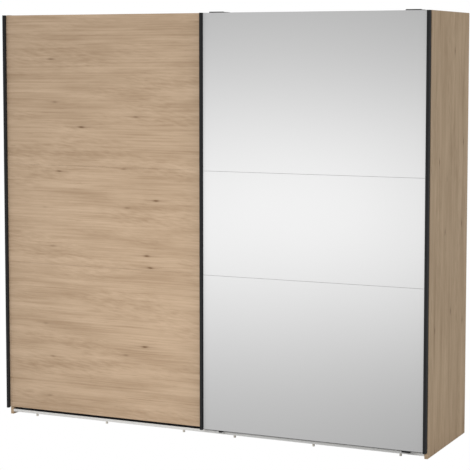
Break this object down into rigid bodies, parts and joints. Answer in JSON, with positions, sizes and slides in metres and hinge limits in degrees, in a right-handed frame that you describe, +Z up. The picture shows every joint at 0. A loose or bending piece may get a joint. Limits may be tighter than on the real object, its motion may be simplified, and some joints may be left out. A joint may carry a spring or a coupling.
{
  "type": "sliding door wardrobe",
  "caption": "Wardrobe cabinet with a wooden and a mirrored sliding door, which roll past each other in a top track over hanging rails and hat shelves.",
  "frame": {"origin": "on the floor, under the centre of the outline seen from above", "axes": "+X to the right of someone facing the doors, +Y from the doors to the back, +Z up"},
  "size_m": [2.18, 0.61, 1.9733],
  "materials": {
    "aluminium": "natural anodised",
    "back_board": "thin printed board, matt",
    "backing_board": "raw fibreboard",
    "black_plastic": "black, matt",
    "black_profile": "black anodised extrusion, satin",
    "black_steel": "black lacquered sheet",
    "buffer_rubber": "black rubber",
    "cabinet_wood": "light oak foil, matt",
    "dark_aluminium": "dark anodised",
    "door_wood": "light oak foil, horizontal grain, matt",
    "mirror_glass": "silvered glass, polished",
    "rail_chrome": "chromed steel tube",
    "screw_steel": "zinc-plated",
    "wheel_nylon": "white nylon",
    "white_plastic": "white, matt",
    "zinc_steel": "zinc-plated sheet"
  },
  "bodies": {
    "cabinet": {"back_board_inner_left": "back_board", "back_board_inner_right": "back_board", "back_board_outer_left": "back_board", "back_board_outer_right": "back_board", "back_joint_strips": "white_plastic", "bottom_front_trim": "aluminium", "bottom_guide_channel": "dark_aluminium", "bottom_panel": "cabinet_wood", "cabinet_screws": "screw_steel", "cam_bolts": "screw_steel", "cam_locks": "screw_steel", "centre_partition": "cabinet_wood", "centre_plinth_board": "cabinet_wood", "front_glides": "white_plastic", "hanging_rail_left": "rail_chrome", "hanging_rail_right": "rail_chrome", "hanging_rail_sockets": "white_plastic", "hat_shelf_left": "cabinet_wood", "hat_shelf_right": "cabinet_wood", "rear_plinth_board": "cabinet_wood", "shelf_pins": "screw_steel", "side_panel_left": "cabinet_wood", "side_panel_right": "cabinet_wood", "stop_buffers": "buffer_rubber", "top_panel": "cabinet_wood", "top_track": "aluminium", "track_end_stops": "zinc_steel", "wall_brackets": "zinc_steel"},
    "wood_door": {"wood_door_axles": "screw_steel", "wood_door_bottom_guides": "black_plastic", "wood_door_carriages": "zinc_steel", "wood_door_end_caps": "black_plastic", "wood_door_handle_left": "black_profile", "wood_door_handle_right": "black_profile", "wood_door_height_screws": "screw_steel", "wood_door_panel_bottom": "door_wood", "wood_door_panel_middle": "door_wood", "wood_door_panel_top": "door_wood", "wood_door_screws": "screw_steel", "wood_door_splines": "black_plastic"},
    "mirror_door": {"mirror_door_axles": "screw_steel", "mirror_door_backing_bottom": "backing_board", "mirror_door_backing_middle": "backing_board", "mirror_door_backing_top": "backing_board", "mirror_door_bottom_guides": "black_plastic", "mirror_door_carriage_covers": "black_plastic", "mirror_door_carriages": "black_steel", "mirror_door_end_caps": "black_plastic", "mirror_door_handle_left": "black_profile", "mirror_door_handle_right": "black_profile", "mirror_door_height_screws": "screw_steel", "mirror_door_pane_bottom": "mirror_glass", "mirror_door_pane_middle": "mirror_glass", "mirror_door_pane_top": "mirror_glass", "mirror_door_screws": "screw_steel", "mirror_door_splines": "black_plastic"},
    "mirror_door_wheel_left": {"mirror_door_wheel_left": "wheel_nylon"},
    "mirror_door_wheel_right": {"mirror_door_wheel_right": "wheel_nylon"},
    "wood_door_wheel_left": {"wood_door_wheel_left": "wheel_nylon"},
    "wood_door_wheel_right": {"wood_door_wheel_right": "wheel_nylon"}
  },
  "joints": [
    {"name": "left_door_slide", "type": "slide", "parent": "cabinet", "child": "wood_door", "axis": [1, 0, 0], "range_m": [0, 1.08]},
    {"name": "right_door_slide", "type": "slide", "parent": "cabinet", "child": "mirror_door", "axis": [1, 0, 0], "range_m": [-1.08, 0]},
    {"name": "wood_door_wheel_left_spin", "type": "hinge", "parent": "wood_door", "child": "wood_door_wheel_left", "pos_m": [-1.011, -0.231, 1.9442], "axis": [0, 1, 0], "range_deg": [-5, 4425]},
    {"name": "wood_door_wheel_right_spin", "type": "hinge", "parent": "wood_door", "child": "wood_door_wheel_right", "pos_m": [-0.069, -0.231, 1.9442], "axis": [0, 1, 0], "range_deg": [-5, 4425]},
    {"name": "mirror_door_wheel_left_spin", "type": "hinge", "parent": "mirror_door", "child": "mirror_door_wheel_left", "pos_m": [0.069, -0.201, 1.9442], "axis": [0, 1, 0], "range_deg": [-4425, 5]},
    {"name": "mirror_door_wheel_right_spin", "type": "hinge", "parent": "mirror_door", "child": "mirror_door_wheel_right", "pos_m": [1.011, -0.201, 1.9442], "axis": [0, 1, 0], "range_deg": [-4425, 5]}
  ],
  "couplings": [
    {"joint": "wood_door_wheel_left_spin", "follows": "left_door_slide", "rad_per_m": 71.429},
    {"joint": "wood_door_wheel_right_spin", "follows": "left_door_slide", "rad_per_m": 71.429},
    {"joint": "mirror_door_wheel_left_spin", "follows": "right_door_slide", "rad_per_m": 71.429},
    {"joint": "mirror_door_wheel_right_spin", "follows": "right_door_slide", "rad_per_m": 71.429}
  ]
}
